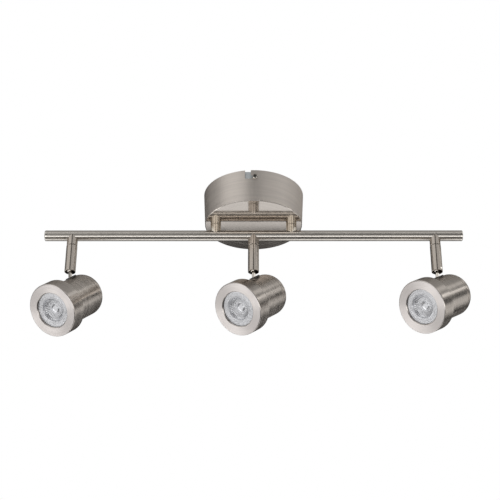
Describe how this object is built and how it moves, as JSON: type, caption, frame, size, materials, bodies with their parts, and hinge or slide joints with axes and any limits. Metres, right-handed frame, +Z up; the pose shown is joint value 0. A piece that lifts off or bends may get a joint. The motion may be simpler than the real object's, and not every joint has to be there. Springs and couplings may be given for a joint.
{
  "type": "ceiling spotlight bar",
  "caption": "Ceiling spotlight bar: round canopy, straight tube on short posts, and reflector-lamp heads on swivelling stems that also tilt",
  "frame": {"origin": "centre of the canopy on the ceiling plane, which is the centre of the bracket's two outlet-box slots", "axes": "+Z up into the ceiling, +X along the bar, -Y towards the side that the beams face"},
  "size_m": [0.5282, 0.127, 0.1938],
  "materials": {
    "brushed_nickel": "brushed nickel plate on steel",
    "bezel_nickel": "turned satin nickel",
    "bright_nickel": "bright nickel plate",
    "zinc_steel": "zinc-plated sheet steel",
    "dark_steel": "blackened steel",
    "green_screw": "green plated",
    "brass_bush": "turned brass",
    "black_insulation": "soft insulation",
    "white_insulation": "soft insulation",
    "green_insulation": "soft insulation",
    "orange_plastic": "moulded plastic",
    "lamp_plastic": "moulded lamp body",
    "lens_plastic": "pebbled clear lens",
    "ceramic": "glazed ceramic"
  },
  "bodies": {
    "fixture": {"ceiling_bracket": "zinc_steel", "ground_screw": "green_screw", "canopy": "brushed_nickel", "canopy_screws": "bright_nickel", "post_left": "bright_nickel", "post_right": "bright_nickel", "post_washers": "zinc_steel", "post_nuts": "zinc_steel", "bar_tube": "brushed_nickel", "end_cap_left": "bright_nickel", "end_cap_right": "bright_nickel", "collar_left": "brushed_nickel", "collar_centre": "brushed_nickel", "collar_right": "brushed_nickel", "swivel_nipples": "zinc_steel", "swivel_nuts": "zinc_steel", "line_leads": "black_insulation", "neutral_leads": "white_insulation", "ground_lead": "green_insulation", "wire_nuts": "orange_plastic"},
    "stem_left": {"stem_tube_left": "brushed_nickel", "stem_bush_left": "brass_bush", "pivot_fork_left": "dark_steel", "pivot_pins_left": "bright_nickel", "stem_leads_left": "white_insulation"},
    "stem_centre": {"stem_tube_centre": "brushed_nickel", "stem_bush_centre": "brass_bush", "pivot_fork_centre": "dark_steel", "pivot_pins_centre": "bright_nickel", "stem_leads_centre": "white_insulation"},
    "stem_right": {"stem_tube_right": "brushed_nickel", "stem_bush_right": "brass_bush", "pivot_fork_right": "dark_steel", "pivot_pins_right": "bright_nickel", "stem_leads_right": "white_insulation"},
    "head_left": {"neck_left": "bright_nickel", "neck_screws_left": "zinc_steel", "housing_left": "brushed_nickel", "bezel_left": "bezel_nickel", "lamp_lens_left": "lens_plastic", "lamp_body_left": "lamp_plastic", "lamp_holder_left": "ceramic", "holder_bracket_left": "zinc_steel"},
    "head_centre": {"neck_centre": "bright_nickel", "neck_screws_centre": "zinc_steel", "housing_centre": "brushed_nickel", "bezel_centre": "bezel_nickel", "lamp_lens_centre": "lens_plastic", "lamp_body_centre": "lamp_plastic", "lamp_holder_centre": "ceramic", "holder_bracket_centre": "zinc_steel"},
    "head_right": {"neck_right": "bright_nickel", "neck_screws_right": "zinc_steel", "housing_right": "brushed_nickel", "bezel_right": "bezel_nickel", "lamp_lens_right": "lens_plastic", "lamp_body_right": "lamp_plastic", "lamp_holder_right": "ceramic", "holder_bracket_right": "zinc_steel"}
  },
  "joints": [
    {"name": "swivel_left", "type": "hinge", "parent": "fixture", "child": "stem_left", "pos_m": [-0.223, 0, -0.0746], "axis": [0, 0, 1], "range_deg": [-133.6, 206.4]},
    {"name": "swivel_centre", "type": "hinge", "parent": "fixture", "child": "stem_centre", "pos_m": [0, 0, -0.0746], "axis": [0, 0, 1], "range_deg": [-128, 212]},
    {"name": "swivel_right", "type": "hinge", "parent": "fixture", "child": "stem_right", "pos_m": [0.223, 0, -0.0746], "axis": [0, 0, 1], "range_deg": [-121, 219]},
    {"name": "tilt_left", "type": "hinge", "parent": "stem_left", "child": "head_left", "pos_m": [-0.223, 0, -0.104], "axis": [0.8049, -0.5934, 0], "range_deg": [-44.7, 31.3]},
    {"name": "tilt_centre", "type": "hinge", "parent": "stem_centre", "child": "head_centre", "pos_m": [0, 0, -0.104], "axis": [0.7431, -0.6691, 0], "range_deg": [-41.8, 34.2]},
    {"name": "tilt_right", "type": "hinge", "parent": "stem_right", "child": "head_right", "pos_m": [0.223, 0, -0.104], "axis": [0.6561, -0.7547, 0], "range_deg": [-37.3, 38.7]}
  ]
}
